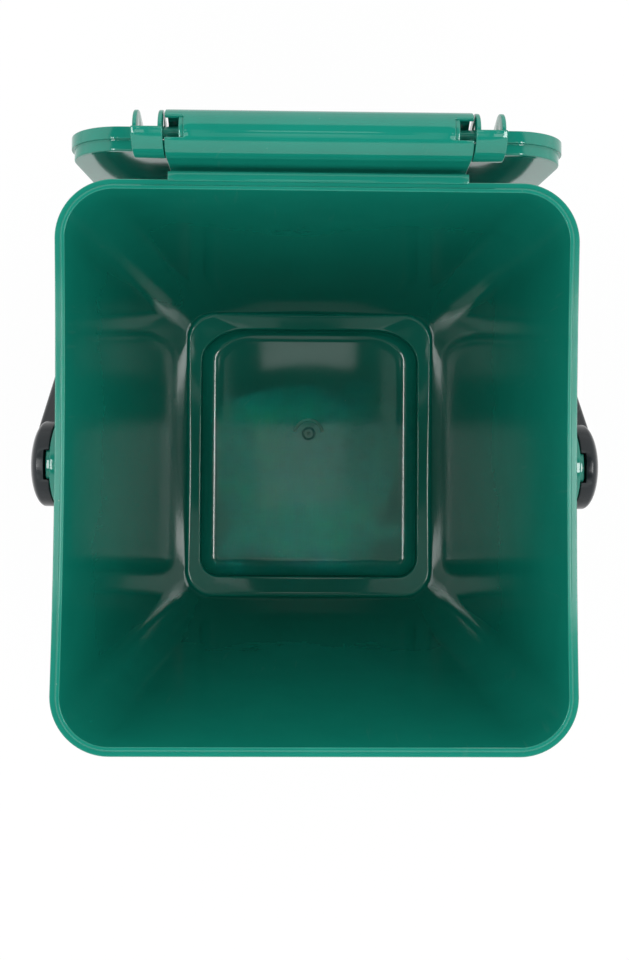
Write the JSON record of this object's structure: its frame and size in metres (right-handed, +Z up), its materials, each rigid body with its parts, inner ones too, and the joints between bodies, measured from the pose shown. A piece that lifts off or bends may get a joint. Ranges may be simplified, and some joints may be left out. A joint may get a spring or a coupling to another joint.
{
  "type": "food waste caddy",
  "caption": "Kerbside food waste caddy: deep tapered tub with a sunken foot, hinged lid folded right back behind it, and a black swinging carry handle.",
  "frame": {"origin": "centre of the flat underside of the tub's foot", "axes": "+Z up along the tub, +Y to the rear where the lid is hinged, +X to the right seen from the front"},
  "size_m": [0.318, 0.3428, 0.4053],
  "materials": {
    "tub_green": "glossy moulded polypropylene",
    "lid_green": "satin moulded polypropylene",
    "pin_green": "satin moulded polypropylene",
    "handle_black": "fine-grained moulded polypropylene"
  },
  "bodies": {
    "tub": {"tub": "tub_green"},
    "lid": {"lid": "lid_green", "hinge_pin_left": "pin_green", "hinge_pin_right": "pin_green"},
    "handle": {"handle": "handle_black"}
  },
  "joints": [
    {"name": "lid_hinge", "type": "hinge", "parent": "tub", "child": "lid", "pos_m": [0, 0.1725, 0.3923], "axis": [1, 0, 0], "range_deg": [0, 268]},
    {"name": "handle_swing", "type": "hinge", "parent": "tub", "child": "handle", "pos_m": [0, 0, 0.343], "axis": [1, 0, 0], "range_deg": [0, 7]}
  ]
}
